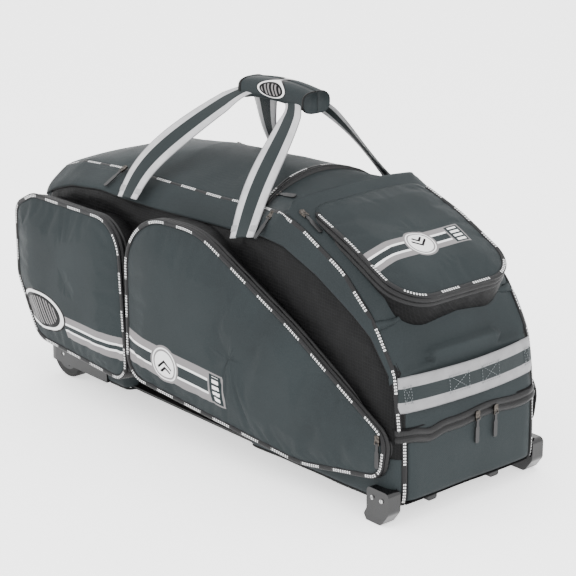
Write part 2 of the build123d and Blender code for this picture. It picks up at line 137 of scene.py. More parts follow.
rippleWaves = [(0.021, 0.4, 0.9, 0.7, 1.1), (0.034, 0.9, -0.3, 0.5, 2.3), (0.055, -0.5, 0.7, 0.8, 4.0),
               (0.083, 0.8, 0.6, -0.4, 0.6), (0.013, -0.2, 0.5, 0.9, 5.2)]


def ripple(p, size=1.0):
    total = 0
    for rate, a, b, c, phase in rippleWaves:
        total = total + np.sin((p[..., 0] * a + p[..., 1] * b + p[..., 2] * c) * rate * size + phase)
    return total / len(rippleWaves)


# how far a point is outside the stuffed hull, negative within it
def bagGap(p):
    x, y, z = p[..., 0], np.abs(p[..., 1]), p[..., 2]
    s = shell
    wallY = s["side"] - (s["side"] - s["noseSide"]) * np.clip((x + 120) / (s["front"] + 120), 0, 1)
    seamZ, edgeZ = along(x, lidProfile["seam"]), along(x, lidProfile["edge"])
    crownZ = along(x, lidProfile["crown"])
    edgeY = np.interp(x, (104, 182), (s["lidSide"], s["noseEdge"]))
    run, rise = wallY - edgeY, edgeZ - seamZ
    length = np.hypot(run, rise)
    shoulder = ((y - edgeY) * rise + (z - edgeZ) * run) / length
    arch = np.maximum(crownZ - edgeZ, 6)
    archR = (edgeY ** 2 + arch ** 2) / (2 * arch)
    top = np.hypot(y, z - crownZ + archR) - archR
    frontX = np.interp(z, (141, 228, 318, 440), (463, 449, 425, 195))
    terms = [y - wallY, s["rear"] - x, shoulder, s["floor"] - z]

    def facet(x1, z1, x2, z2, bulge=0):
        dx, dz = x2 - x1, z2 - z1
        n = math.hypot(dx, dz)
        return ((x - x1) * -dz + (z - z1) * dx) / n - bulge * np.clip(1 - (y / s["noseEdge"]) ** 2, 0, 1)
    terms += [facet(-416, 40, -450, 215), facet(-450, 330, -432, 378)]
    terms += [facet(195, 444, 432, 323, 9), facet(432, 323, 451, 228, 6), facet(451, 228, 463, 141, 4)]
    terms += [x - s["front"], ((x - frontX) + (y - wallY)) * 0.7071 + 14.5]
    terms += [((s["rear"] - x) + (y - s["side"])) * 0.7071 + 18.6]
    gap = terms[0]
    for t in terms[1:]:
        gap = roundMax(gap, t, s["soft"])
    gap = roundMax(gap, np.where(x < 190, top, -50), 6)
    return gap - s["ripple"] * ripple(p)


# from a place inside, outward to the hull
def cast(base, outward, reach=330.0):
    base, outward = np.asarray(base, float), np.asarray(outward, float)
    outward = outward / np.linalg.norm(outward, axis=-1, keepdims=True)
    low = np.zeros(base.shape[:-1])
    high = np.full(base.shape[:-1], float(reach))
    for _ in range(22):
        middle = (low + high) / 2
        outside = bagGap(base + outward * middle[..., None]) > 0
        high = np.where(outside, middle, high)
        low = np.where(outside, low, middle)
    return base + outward * ((low + high) / 2)[..., None]


def castAt(x, y, z, way):
    base = np.stack(np.broadcast_arrays(np.asarray(x, float), y, z), -1)
    return cast(base, np.broadcast_to(way, base.shape))


def bagNormal(p):
    e = 2.0
    g = np.stack([bagGap(p + np.eye(3)[i] * e) - bagGap(p - np.eye(3)[i] * e) for i in range(3)], -1)
    return g / np.linalg.norm(g, axis=-1, keepdims=True)


# meshes
def makeMesh(name, points, faces, run=None):
    mesh = bpy.data.meshes.new(name)
    mesh.from_pydata([tuple(v) for v in toRow(points)], [], faces)
    if run is not None:
        layer = mesh.uv_layers.new(name="run")
        flat = np.asarray(run, float)
        loops = np.empty(len(mesh.loops), int)
        mesh.loops.foreach_get("vertex_index", loops)
        layer.data.foreach_set("uv", flat[loops].ravel())
    mesh.polygons.foreach_set("use_smooth", [True] * len(mesh.polygons))
    mesh.update()
    piece = bpy.data.objects.new(name, mesh)
    bpy.context.scene.collection.objects.link(piece)
    return piece


def gridFaces(rows, columns, wrapRows=False, wrapColumns=False):
    faces = []
    for i in range(rows - (0 if wrapRows else 1)):
        for j in range(columns - (0 if wrapColumns else 1)):
            a, b = i * columns + j, i * columns + (j + 1) % columns
            c, d = ((i + 1) % rows) * columns + (j + 1) % columns, ((i + 1) % rows) * columns + j
            faces.append((a, b, c, d))
    return faces


def gridPiece(name, grid, flip=False, **wrap):
    rows, columns = grid.shape[:2]
    faces = gridFaces(rows, columns, **wrap)
    if flip:
        faces = [f[::-1] for f in faces]
    return makeMesh(name, grid.reshape(-1, 3), faces)


def modify(piece, kind, **values):
    m = piece.modifiers.new(kind.lower(), kind)
    for k, v in values.items():
        setattr(m, k, v)
    return m


def bake(piece):
    bpy.context.view_layer.update()
    graph = bpy.context.evaluated_depsgraph_get()
    mesh = bpy.data.meshes.new_from_object(piece.evaluated_get(graph))
    piece.modifiers.clear()
    piece.data = mesh
    return piece


def mirrored(piece, name):
    mesh = piece.data.copy()
    mesh.transform(((1, 0, 0, 0), (0, -1, 0, 0), (0, 0, 1, 0), (0, 0, 0, 1)))
    mesh.flip_normals()
    twin = bpy.data.objects.new(name, mesh)
    bpy.context.scene.collection.objects.link(twin)
    return twin


def resample(path, step, closed=False):
    path = np.asarray(path, float)
    if closed:
        path = np.vstack([path, path[:1]])
    lengths = np.concatenate([[0], np.cumsum(np.linalg.norm(np.diff(path, axis=0), axis=1))])
    count = max(4, int(round(lengths[-1] / step)))
    marks = np.linspace(0, lengths[-1], count + 1)
    out = np.stack([np.interp(marks, lengths, path[:, i]) for i in range(path.shape[1])], -1)
    return out[:-1] if closed else out


def smoothPath(path, passes=3, closed=False):
    path = np.array(path, float)
    for _ in range(passes):
        if closed:
            path = 0.5 * path + 0.25 * (np.roll(path, 1, 0) + np.roll(path, -1, 0))
        else:
            path[1:-1] = 0.5 * path[1:-1] + 0.25 * (path[:-2] + path[2:])
    return path


def frames(path, up, closed):
    if closed:
        tangent = np.roll(path, -1, 0) - np.roll(path, 1, 0)
    else:
        tangent = np.gradient(path, axis=0)
    tangent /= np.linalg.norm(tangent, axis=1, keepdims=True)
    up = np.broadcast_to(np.asarray(up, float), path.shape).copy()
    up -= tangent * np.sum(tangent * up, 1, keepdims=True)
    up /= np.linalg.norm(up, axis=1, keepdims=True)
    return tangent, up, np.cross(tangent, up)


# a profile carried along a path; its map holds the place across and the metres run
def sweep(name, path, up, profile, closed=False, openProfile=False, across=None):
    path = np.asarray(path, float)
    profile = np.asarray(profile, float)
    tangent, up, side = frames(path, up, closed)
    if profile.ndim == 2:
        profile = np.broadcast_to(profile, (len(path),) + profile.shape)
    grid = path[:, None] + profile[..., :1] * side[:, None] + profile[..., 1:] * up[:, None]
    steps = np.linalg.norm(np.diff(path, axis=0), axis=1)
    distance = np.concatenate([[0], np.cumsum(steps)])
    n, m = grid.shape[:2]
    if closed:
        grid = np.concatenate([grid, grid[:1]])
        distance = np.concatenate([distance, [distance[-1] + np.linalg.norm(path[0] - path[-1])]])
        n += 1
    around = np.linspace(0, 1, m) if across is None else np.asarray(across, float)
    run = np.stack(np.broadcast_arrays(around[None, :], distance[:, None] / 1000), -1).reshape(-1, 2)
    faces = gridFaces(n, m, wrapColumns=not openProfile)
    if not closed and not openProfile:
        faces += [tuple(range(m)), tuple(range((n - 1) * m, n * m))[::-1]]
    return makeMesh(name, grid.reshape(-1, 3), faces, run)


def ellipse(a, b, count=12):
    turn = np.linspace(0, 2 * math.pi, count, endpoint=False)
    return np.stack([a * np.sin(turn), b * np.cos(turn)], -1)


# finishes
class Wire:
    def __init__(self, finish, socket):
        self.finish, self.socket = finish, socket

    def maths(self, operation, *others):
        return self.finish.node("ShaderNodeMath", dict(operation=operation), [self, *others])

    def __add__(self, other):
        return self.maths("ADD", other)

    __radd__ = __add__

    def __mul__(self, other):
        return self.maths("MULTIPLY", other)

    __rmul__ = __mul__

    def __sub__(self, other):
        return self.maths("SUBTRACT", other)

    def __rsub__(self, other):
        return self.finish.node("ShaderNodeMath", dict(operation="SUBTRACT"), [other, self])

    def __truediv__(self, other):
        return self.maths("DIVIDE", other)

    def __mod__(self, other):
        return self.maths("FLOORED_MODULO", other)

    def __lt__(self, other):
        return self.maths("LESS_THAN", other)

    def __gt__(self, other):
        return self.maths("GREATER_THAN", other)

    def __abs__(self):
        return self.maths("ABSOLUTE")


class Finish:
    def __init__(self, name, roughness=0.6, **sockets):
        self.material = bpy.data.materials.new(name)
        self.material.use_nodes = True
        self.tree = self.material.node_tree
        self.shader = self.tree.nodes["Principled BSDF"]
        self.shader.inputs["Roughness"].default_value = roughness
        for k, v in sockets.items():
            self.shader.inputs[k.replace("_", " ")].default_value = v
        self.place = self.node("ShaderNodeTexCoord", {}, {}, "Object")

    def node(self, kind, settings, sockets, out=0):
        made = self.tree.nodes.new(kind)
        for k, v in settings.items():
            if k == "stops":
                ramp = made.color_ramp
                while len(ramp.elements) < len(v):
                    ramp.elements.new(0.5)
                for e, (at, level) in zip(ramp.elements, v):
                    e.position, e.color = at, (level, level, level, 1)
            else:
                setattr(made, k, v)
        pairs = sockets.items() if isinstance(sockets, dict) else enumerate(sockets)
        for k, v in pairs:
            if isinstance(v, Wire):
                self.tree.links.new(v.socket, made.inputs[k])
            elif v is not None:
                made.inputs[k].default_value = v
        return Wire(self, made.outputs[out])

    def mix(self, mask, a, b):
        a, b = [c if isinstance(c, Wire) else (*c, 1) for c in (a, b)]
        return self.node("ShaderNodeMix", dict(data_type="RGBA"), {0: mask, 6: a, 7: b}, 2)

    def noise(self, scale, detail=2.0, stretch=None):
        place = self.place
        if stretch:
            place = self.node("ShaderNodeVectorMath", dict(operation="MULTIPLY"), [place, stretch])
        return self.node("ShaderNodeTexNoise", {}, {"Vector": place, "Scale": scale, "Detail": detail,
                                                    "Roughness": 0.5})

    def bands(self, scale, direction=(0, 0, 0), distortion=0.0):
        turned = self.node("ShaderNodeMapping", {}, {"Vector": self.place, "Rotation": direction})
        return self.node("ShaderNodeTexWave", dict(wave_type="BANDS", bands_direction="X"),
                         {"Vector": turned, "Scale": scale, "Distortion": distortion}, 1)

    def xyz(self, wire=None):
        made = self.node("ShaderNodeSeparateXYZ", {}, [wire or self.place])
        outputs = made.socket.node.outputs
        return [Wire(self, outputs[i]) for i in range(3)]

    def ribs(self, scale, direction="Y"):
        # bands counted along the piece, or across it for X
        place = self.node("ShaderNodeUVMap", dict(uv_map="run"), {})
        return self.node("ShaderNodeTexWave", dict(wave_type="BANDS", bands_direction=direction),
                         {"Vector": place, "Scale": scale}, 1)

    def runs(self):
        return self.xyz(self.node("ShaderNodeUVMap", dict(uv_map="run"), {}))[:2]

    def bump(self, height, depth, strength=1.0, under=None):
        sockets = {"Height": height, "Distance": depth, "Strength": strength}
        if under:
            sockets["Normal"] = under
        return self.node("ShaderNodeBump", {}, sockets)

    def give(self, **links):
        for k, v in links.items():
            socket = self.shader.inputs[k.replace("_", " ")]
            if isinstance(v, Wire):
                self.tree.links.new(v.socket, socket)
            else:
                socket.default_value = v
        return self.material


def step(wire, at, soft):
    return wire.finish.node("ShaderNodeMapRange", dict(interpolation_type="SMOOTHSTEP"),
                            [wire, at - soft, at + soft, 0.0, 1.0])


def inside(wire, low, high, soft=0.0002):
    return step(wire, low, soft) * (1 - step(wire, high, soft))


colours = dict(slate=(0.0132, 0.0178, 0.0190), slateDeep=(0.0100, 0.0137, 0.0147),
               black=(0.004, 0.004, 0.0044),
               silver=(0.30, 0.30, 0.31), stripe=(0.155, 0.148, 0.150), white=(0.62, 0.62, 0.62),
               plastic=(0.004, 0.004, 0.0042))


def wovenBump(f):
    pitch, depth = 0.0016, 0.00022
    rate = 0.314 / pitch
    a = f.bands(rate, (0.0, 0.6, 0.8), 0.6)
    b = f.bands(rate, (0.9, -0.5, -0.8), 0.6)
    weave = f.bump(a * b, depth, 0.55)
    crease = f.noise(11, 3, (1, 1, 0.6))
    return f.bump(crease, 0.004, 0.35, weave)


def coatedCloth(name, marks=None, base="slate", deep="slateDeep", rough=0.5):
    f = Finish(name, rough, Specular_IOR_Level=0.035)
    cloud = f.noise(7, 4)
    colour = f.mix(step(cloud, 0.5, 0.22), colours[deep], colours[base])
    grain = f.noise(900, 1)
    colour = f.mix(grain * 0.05, colour, colours["silver"]) if base == "slate" else colour
    normal = wovenBump(f)
    roughness = f.noise(24, 3) * 0.16 + (rough - 0.08)
    if marks:
        for mask, tint in marks(f):
            colour = f.mix(mask, colour, tint)
            roughness = roughness * (1 - mask * 0.25)
    return f.give(Base_Color=colour, Roughness=roughness, Normal=normal)


def ripstopCloth(name):
    f = Finish(name, 0.55, Specular_IOR_Level=0.09)
    x, y, z = f.xyz()
    pitch = 0.0052
    one = abs(((x + y * 0.35) % pitch) - pitch / 2) > pitch * 0.43
    two = abs(((z + y * 0.8) % pitch) - pitch / 2) > pitch * 0.43
    grid = one.maths("MAXIMUM", two)
    ground = f.mix(f.noise(16, 3), (0.0012, 0.0012, 0.0013), (0.003, 0.003, 0.0032))
    colour = f.mix(grid * 0.6, ground, (0.008, 0.008, 0.0085))
    fine = f.bump(grid, 0.0003, 0.6)
    folds = f.bump(f.noise(26, 3, (1, 1, 1.4)), 0.007, 0.5, fine)
    return f.give(Base_Color=colour, Roughness=f.noise(40, 2) * 0.2 + 0.42, Normal=folds)


def bindingTape(name):
    f = Finish(name, 0.5, Specular_IOR_Level=0.2)
    across, run = f.runs()
    near = step(across, 0.87, 0.03)
    word = inside(run % 0.066, 0.004, 0.0415, 0.0003)
    letter = inside(run % 0.0047, 0.0009, 0.0036, 0.0002)
    hollow = step(across, 0.965, 0.01) * inside(run % 0.0094, 0.0016, 0.0029, 0.0002)
    slit = step(across, 0.965, 0.01) * inside(run % 0.0094, 0.0064, 0.0090, 0.0002)
    mask = near * word * letter * (1 - hollow) * (1 - slit)
    colour = f.mix(mask, (0.0045, 0.0045, 0.005), colours["white"])
    ribs = f.ribs(240.0)
    return f.give(Base_Color=colour, Normal=f.bump(ribs, 0.00015, 0.5))


def strapCloth(name, silverShare=0.27, silverShadeFactor=1.0):
    f = Finish(name, 0.55, Specular_IOR_Level=0.15)
    across, run = f.runs()
    fromEdge = abs(across - 0.5) * -1 + 0.5
    silver = 1 - step(fromEdge, silverShare, 0.006)
    rim = 1 - step(fromEdge, 0.025, 0.008)
    # a silverShadeFactor below 1 darkens the silver stripes as painted shade (the tow strap's copy)
    colour = f.mix(silver, f.mix(f.noise(30, 2), colours["slateDeep"], colours["slate"]),
                   f.mix(f.noise(60, 2), tuple(c * silverShadeFactor for c in (0.27, 0.27, 0.275)),
                         tuple(c * silverShadeFactor for c in (0.43, 0.43, 0.44))))
    colour = f.mix(rim, colour, (0.14, 0.14, 0.145))
    ribs, warp = f.ribs(190.0), f.ribs(7.0, "X")
    return f.give(Base_Color=colour, Roughness=0.62 - silver * 0.2,
                  Normal=f.bump(f.noise(22, 3), 0.004, 0.3, f.bump(ribs * 0.7 + warp * 0.3, 0.0004, 0.7)))


def plainPlastic(name, base, rough, grain=260, depth=0.00012, **sockets):
    f = Finish(name, rough, **sockets)
    wear = f.noise(18, 4)
    colour = f.mix(step(wear, 0.62, 0.12) * 0.5, base, tuple(min(1, c * 1.9 + 0.004) for c in base))
    return f.give(Base_Color=colour, Roughness=wear * 0.18 + (rough - 0.09),
                  Normal=f.bump(f.noise(grain, 2), depth, 0.5))


def metalFinish(name, base, rough):
    f = Finish(name, rough, Metallic=1.0)
    tarnish = f.noise(300, 3)
    dark = tuple(c * 0.25 for c in base)
    return f.give(Base_Color=f.mix(step(tarnish, 0.52, 0.14), base, dark),
                  Roughness=tarnish * 0.25 + (rough - 0.1), Normal=f.bump(tarnish, 0.0002, 0.4))


def coilZip(name):
    f = Finish(name, 0.5, Specular_IOR_Level=0.22)
    across, run = f.runs()
    teeth = f.ribs(150.0)
    colour = f.mix(teeth, (0.002, 0.002, 0.0022), (0.009, 0.009, 0.0095))
    return f.give(Base_Color=colour, Normal=f.bump(f.noise(34, 2), 0.003, 0.4, f.bump(teeth, 0.0003, 0.6)))


def discs(r, sizes):
    # one inside the other, grey and white by turns
    return [(1 - step(r, size, 0.0003), colours["white" if i % 2 else "stripe"]) for i, size in enumerate(sizes)]


def stripeMarks(level, slope, upper, lower, white, spans, roundel=None, label=None):
    def marks(f):
        x, y, z = f.xyz()
        x = x - midX
        t = z - (x * slope + level)
        made = []
        inRun = inside(x, spans[0], spans[1])
        for a, b, edge in ((upper[0], upper[1], upper[0]), (lower[0], lower[1], lower[1] - white)):
            made.append((inside(t, a, b) * inRun, colours["stripe"]))
            made.append((inside(t, edge, edge + white) * inRun, colours["white"]))
        if label:
            a, b = label
            box = inside(x, a, b) * inside(t, lower[0], upper[1])
            made.append((box, colours["stripe"]))
            core = inside(x, a + 0.004, b - 0.003) * inside(t, lower[0] + 0.003, upper[1] - 0.003)
            made.append((core, colours["slate"]))
            bars = inside(x, a + 0.010, b - 0.009) * inside((t + 0.1) % 0.0105, 0.0022, 0.0084)
            made.append((bars * inside(t, lower[0] + 0.006, upper[1] - 0.006), colours["white"]))
        if roundel:
            cx, size = roundel
            cz = cx * slope + level + (upper[1] + lower[0]) / 2
            reach = f.node("ShaderNodeCombineXYZ", {}, [x - cx, z - cz, 0.0])
            r = f.node("ShaderNodeVectorMath", dict(operation="LENGTH"), [reach], "Value")
            made += discs(r, (size, size * 0.88, size * 0.80, size * 0.70))
            chevron = abs((z - cz) + abs(x - cx) * 0.8)
            mark = inside(chevron, 0.003, 0.0085) * (1 - step(r, size * 0.52, 0.0003))
            made.append((mark, colours["black"]))
        return made
    return marks


print("finishes")
slate = coatedCloth("slateCloth")
ripstop = ripstopCloth("blackRipstop")
baseCloth = coatedCloth("blackBaseCloth", base="plastic", deep="black", rough=0.55)
tape = bindingTape("bindingTape")
strap = strapCloth("carryWebbing")
# tow webbing: the carry webbing with its silver stripes painted darker, as painted shade
shadedTowCloth = strapCloth("towWebbing", 0.31, 0.55)
zipTape = coilZip("coilZipper")
moulded = plainPlastic("mouldedBlack", (0.004, 0.004, 0.0044), 0.36, Specular_IOR_Level=0.3)
glossFoot = plainPlastic("footPlastic", (0.003, 0.003, 0.0033), 0.22, Specular_IOR_Level=0.4)
tyreRubber = plainPlastic("tyreRubber", (0.005, 0.005, 0.005), 0.62, 140, 0.0003, Specular_IOR_Level=0.2)
hubPlastic = plainPlastic("hubPlastic", (0.010, 0.010, 0.011), 0.4, Specular_IOR_Level=0.3)
steel = metalFinish("plainSteel", (0.5, 0.5, 0.5), 0.35)
agedMetal = metalFinish("agedSlider", (0.075, 0.066, 0.058), 0.36)
pullRubber = plainPlastic("pullRubber", (0.006, 0.006, 0.0065), 0.34, Specular_IOR_Level=0.3)
silverTape = plainPlastic("silverTape", (0.24, 0.24, 0.245), 0.5, Specular_IOR_Level=0.2)
tagCloth = plainPlastic("tagCloth", (0.20, 0.012, 0.010), 0.6, 800, Specular_IOR_Level=0.15)
boardFinish = plainPlastic("stiffener", (0.015, 0.015, 0.015), 0.6, Specular_IOR_Level=0.2)
thread = plainPlastic("thread", (0.11, 0.12, 0.125), 0.6, 800, Specular_IOR_Level=0.15)


def dress(piece, material, body, slotName=None):
    piece.data.materials.clear()
    piece.data.materials.append(material)
    if body:
        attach(piece, body)
    if slotName:
        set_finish(piece, slotName)
    return piece


# hard pieces take their finish from their name
for name, node in nodes.items():
    finish = {"tyre": tyreRubber, "hub": hubPlastic, "bearings": steel, "axles": steel, "screws": steel,
              "housing": moulded, "feet": glossFoot, "rails": moulded, "slider": agedMetal,
              "pull": pullRubber,
              "board": boardFinish, "divider": baseCloth, "chains": zipTape}
    for key, material in finish.items():
        if key in name:
            node.data.materials.clear()
            node.data.materials.append(material)

# body skins
print("body skins")


def slotOf(material):
    return "coated_grey" if material is slate else "ripstop_black"


def clothSkin(name, grid, material, body, replaces=(), flip=False):
    piece = gridPiece(name, grid, flip)
    modify(piece, "SOLIDIFY", thickness=shell["cloth"] / 1000, offset=-1)
    bake(piece)
    dress(piece, material, body, slotOf(material))
    if replaces:
        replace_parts(piece, *replaces)
    return piece


def leftSkin(source, name, material, *stands):
    piece = dress(mirrored(source, name), material, "bag_body", slotOf(material))
    if stands:
        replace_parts(piece, *stands)


def edgeLine(x):
    y = np.interp(x, (104, 182), (shell["lidSide"], shell["noseEdge"]))
    return np.stack([x, -y, along(x, lidProfile["edge"])], -1)


def seamLine(x):
    y = shell["side"] - (shell["side"] - shell["noseSide"]) * np.clip((x + 120) / 583, 0, 1)
    return np.stack([x, -y, along(x, lidProfile["seam"])], -1)


def onBag(p, lift=0.0, inward=40.0):
    p = np.asarray(p, float)
    n = bagNormal(p)
    return cast(p - n * inward, n, inward + 60) + n * lift


# lid
lidX = np.linspace(shell["lidBack"], shell["lidFront"], 110)
lidY = np.linspace(-118.5, 118.5, 56)
gx, gy = np.meshgrid(lidX, lidY, indexing="ij")
lidGrid = castAt(gx, gy, 300, upWay)
clothSkin("lidSkin", lidGrid, slate, "lid", ["lid_panel"])

# shoulders, running on as the strip beside the slope
stripX = np.concatenate([np.linspace(-428, 380, 120), np.linspace(384, 443, 26)])
v = np.linspace(0, 1, 14)[None, :, None]
top, low = edgeLine(stripX)[:, None], seamLine(stripX)[:, None]
shoulderGrid = onBag(top * (1 - v) + low * v)
shoulder = clothSkin("rightShoulderSkin", shoulderGrid, slate, "bag_body", ["right_shoulder_panel"],
                     flip=True)
leftSkin(shoulder, "leftShoulderSkin", slate, "left_shoulder_panel")

# nose: top, slope and front end in one run, then the shoe flap below its zipper
nosePath = resample([(107, 0, 457), (182, 0, 446), (215, 0, 436), (425, 0, 322), (449, 0, 228),
                     (462, 0, 143.5)], 5.0)


def noseGrid(path, edge, rows):
    t = np.linspace(-1, 1, rows)
    y = t[None, :] * edge[:, None]
    p = np.stack([np.broadcast_to(path[:, :1], y.shape), y, np.broadcast_to(path[:, 2:], y.shape)], -1)
    tangent = np.gradient(path, axis=0)
    n = np.stack([-tangent[:, 2], np.zeros(len(path)), tangent[:, 0]], -1)
    n /= np.linalg.norm(n, axis=1, keepdims=True)
    n = np.broadcast_to(n[:, None], p.shape)
    return cast(p - n * 45, n, 90)


noseEdgeY = np.interp(nosePath[:, 0], (104, 182), (shell["lidSide"], shell["noseEdge"]))
clothSkin("noseSkin", noseGrid(nosePath, noseEdgeY, 60), slate, "bag_body",
          ["front_slope_panel", "front_end_panel"], flip=True)

flapPath = resample([(463, 0, 138.5), (463, 0, 36)], 5.0)
clothSkin("shoeFlapSkin", noseGrid(flapPath, np.full(len(flapPath), 133.0), 50), slate, "shoe_door",
          ["shoe_flap"], flip=True)


# side walls: ripstop above, slate below the pockets, round the front corner to the nose's binding
def wallGrid(us, zLow, zHigh, rows=44):
    w = np.linspace(0, 1, rows)
    z = zLow[:, None] * (1 - w) + zHigh[:, None] * w
    base = np.stack(np.broadcast_arrays(us[:, None, 0], us[:, None, 1], z), -1)
    out = np.stack(np.broadcast_arrays(us[:, None, 2], us[:, None, 3], np.zeros_like(z)), -1)
    return cast(base, out)


straightX = np.linspace(-405, 425, 150)
cornerTurn = np.linspace(0, 0.98, 14)
columns = [(x, -90, 0, -1.0) for x in straightX] + [(428, -118, math.sin(a), -math.cos(a))
                                                     for a in cornerTurn[1:]]
columns = np.array(columns, float)
frontEndTop = 226.0
cornerTop = np.linspace(250, frontEndTop, len(cornerTurn) - 1)
topZ = np.concatenate([along(straightX, lidProfile["seam"]), cornerTop])
lowZ = np.where(columns[:, 0] < boxOf("right_wheel_housing")[1][0], 98.0, shell["floor"])
splitZ = 104.0
highWall = wallGrid(columns, np.full(len(columns), splitZ), topZ)
wallUpper = clothSkin("rightSideSkin", highWall, ripstop, "bag_body", ["right_side_panel"], flip=True)
lowWall = wallGrid(columns, np.minimum(lowZ, splitZ - 1), np.full(len(columns), splitZ), 16)
wallLower = clothSkin("rightLowerSkin", lowWall, slate, "bag_body", flip=True)
leftSkin(wallUpper, "leftSideSkin", ripstop, "left_side_panel")
leftSkin(wallLower, "leftLowerSkin", slate)

# rear end: a fan from inside, out to its seams
apex = np.array([-335.0, 0, 235])
halfLoop = [(-428, y, 420) for y in np.linspace(0, 150, 14)]
halfLoop += [(-405, 172, z) for z in np.linspace(352, 99, 24)]
halfLoop += [(-418, y, 98) for y in np.linspace(172, 128, 5)]
halfLoop += [(-416, 124, z) for z in np.linspace(90, 30, 8)]
halfLoop += [(-416, y, 29) for y in np.linspace(120, 0, 10)]
halfLoop = np.array(halfLoop, float)
halfLoop[:14] = castAt(halfLoop[:14, 0], halfLoop[:14, 1], 250.0, upWay)
rearLoop = np.vstack([halfLoop, (halfLoop * [1, -1, 1])[::-1][1:-1]])
aim = rearLoop - apex
aim /= np.linalg.norm(aim, axis=1, keepdims=True)
middleAim = np.array([-1.0, 0, 0])
share = np.linspace(0.002, 1, 34)[:, None, None]
aims = middleAim * (1 - share) + aim[None] * share
rearGrid = cast(np.broadcast_to(apex, aims.shape), aims)
piece = gridPiece("rearEndSkin", rearGrid, wrapColumns=True, flip=True)
modify(piece, "SOLIDIFY", thickness=shell["cloth"] / 1000, offset=-1)
bake(piece)
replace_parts(dress(piece, slate, "bag_body", "coated_grey"), "rear_end_panel")

# underside
for name, x0, x1, y1 in (("undersideSkin", -252, 452, 150), ("tailSkin", -414, -252, 124)):
    gx, gy = np.meshgrid(np.linspace(x0, x1, 60), np.linspace(-y1, y1, 30), indexing="ij")
    grid = castAt(gx, gy, 60, (0, 0, -1.0))
    covers = ["floor_panel"] if name == "undersideSkin" else ()
    piece = clothSkin(name, grid, baseCloth, "bag_body", covers, flip=True)

# pockets
print("pockets")


# outline of a node's widest face, as a loop
def rimOf(node, normal):
    mesh = nodes[node].data
    widest = max((q for q in mesh.polygons if np.dot(q.normal, normal) > 0.98), key=lambda q: q.area)
    normal = np.array(widest.normal, float)
    places = {}

    def key(i):
        return tuple(round(c * 1e5) for c in mesh.vertices[i].co)
    top = max(np.dot(v.co, normal) for v in mesh.vertices)
    edges = {}
    for polygon in mesh.polygons:
        ids = list(polygon.vertices)
        if all(np.dot(mesh.vertices[i].co, normal) > top - 2e-4 for i in ids):
            for a, b in zip(ids, ids[1:] + ids[:1]):
                ka, kb = key(a), key(b)
                places[ka], places[kb] = mesh.vertices[a].co.copy(), mesh.vertices[b].co.copy()
                if (kb, ka) in edges:
                    del edges[(kb, ka)]
                else:
                    edges[(ka, kb)] = True
    follow = {a: b for a, b in edges}
    start = next(iter(follow))
    loop, at = [start], follow[start]
    while at != start:
        loop.append(at)
        at = follow[at]
    rim = (np.array([places[k] for k in loop]) - [midX, 0, 0]) * 1000
    return rim


def rimDistance(p, rim):
    a, b = rim, np.roll(rim, -1, 0)
    d = b - a
    out = np.empty(len(p))
    for i in range(0, len(p), 2000):
        q = p[i:i + 2000, None]
        t = np.clip(np.sum((q - a) * d, -1) / np.maximum(np.sum(d * d, -1), 1e-9), 0, 1)
        out[i:i + 2000] = np.linalg.norm(q - (a + d * t[..., None]), axis=-1).min(1)
    return out


# rings from the rim to the middle, raised into a cushion, with a flat back
def paddedFace(name, rim, normal, crown, thick, reach, rings, seed):
    pucker, undulate = 0.9, 2.0
    middle = rim.mean(0)
    grid = middle + (rim - middle) * (1 - np.linspace(0, 0.985, rings) ** 0.9)[:, None, None]
    flat = grid.reshape(-1, 3)
    d = rimDistance(flat, rim)
    soft = 1 - (1 - np.clip(d / reach, 0, 1)) ** 2.2
    lift = crown * soft
    arc = np.tile(np.cumsum(np.linalg.norm(rim - np.roll(rim, 1, 0), axis=1)), rings)
    ray = sum(np.sin(arc / w * 2 * math.pi + q + seed) for w, q in ((31, 0), (19.3, 2.0), (47, 4.1))) / 3
    lift = lift + pucker * ray * np.exp(-d / 16) * np.clip(d / 5, 0, 1)
    lift = lift + undulate * ripple(flat + seed * 40, 0.8) * np.clip(d / 40, 0, 1)
    lift = lift - 1.6 * np.exp(-(d / 3.2) ** 2)
    outer = flat + normal * lift[:, None]
    backRim = rim - normal * thick
    points = np.vstack([outer, outer[-len(rim):].mean(0)[None], backRim, backRim.mean(0)[None]])
    m = len(rim)
    faces = gridFaces(rings, m, wrapColumns=True)
    last, centre = (rings - 1) * m, rings * m
    back = centre + 1
    faces += [(last + j, last + (j + 1) % m, centre) for j in range(m)]
    faces += [(back + (j + 1) % m, back + j, back + m) for j in range(m)]
    faces += [(j, back + j, back + (j + 1) % m, (j + 1) % m) for j in range(m)]
    return makeMesh(name, points, faces)


def settle(piece, held, limit):
    steps = 16
    # a little air pressed into the sewn-in cloth, held at its rim and kept within the limit
    mesh = piece.data
    before = np.array([v.co[:] for v in mesh.vertices])
    group = piece.vertex_groups.new(name="held")
    group.add([int(i) for i in held], 1.0, "REPLACE")
    cloth = modify(piece, "CLOTH")
    air = cloth.settings
    air.quality, air.mass, air.vertex_group_mass = 5, 0.25, "held"
    air.tension_stiffness = air.compression_stiffness = 12
    air.bending_stiffness, air.shrink_min = 0.3, -0.012
    air.use_pressure, air.uniform_pressure_force = True, 2.5
    air.effector_weights.gravity = 0
    cloth.point_cache.frame_start, cloth.point_cache.frame_end = 1, steps
    for at in range(1, steps + 1):
        bpy.context.scene.frame_set(at)
    graph = bpy.context.evaluated_depsgraph_get()
    after = np.array([v.co[:] for v in piece.evaluated_get(graph).data.vertices])
    bpy.context.scene.frame_set(1)
    piece.modifiers.clear()
    piece.vertex_groups.clear()
    move = after - before
    size = np.linalg.norm(move, axis=1, keepdims=True)
    move *= np.minimum(1, limit / np.maximum(size, 1e-9))
    mesh.vertices.foreach_set("co", (before + move).ravel())
    mesh.update()
    return piece


def facing(piece, normal):
    mesh = piece.data
    score = sum(np.dot(p.normal, normal) * p.area for p in list(mesh.polygons)[:2000])
    if score < 0:
        mesh.flip_normals()
    return piece


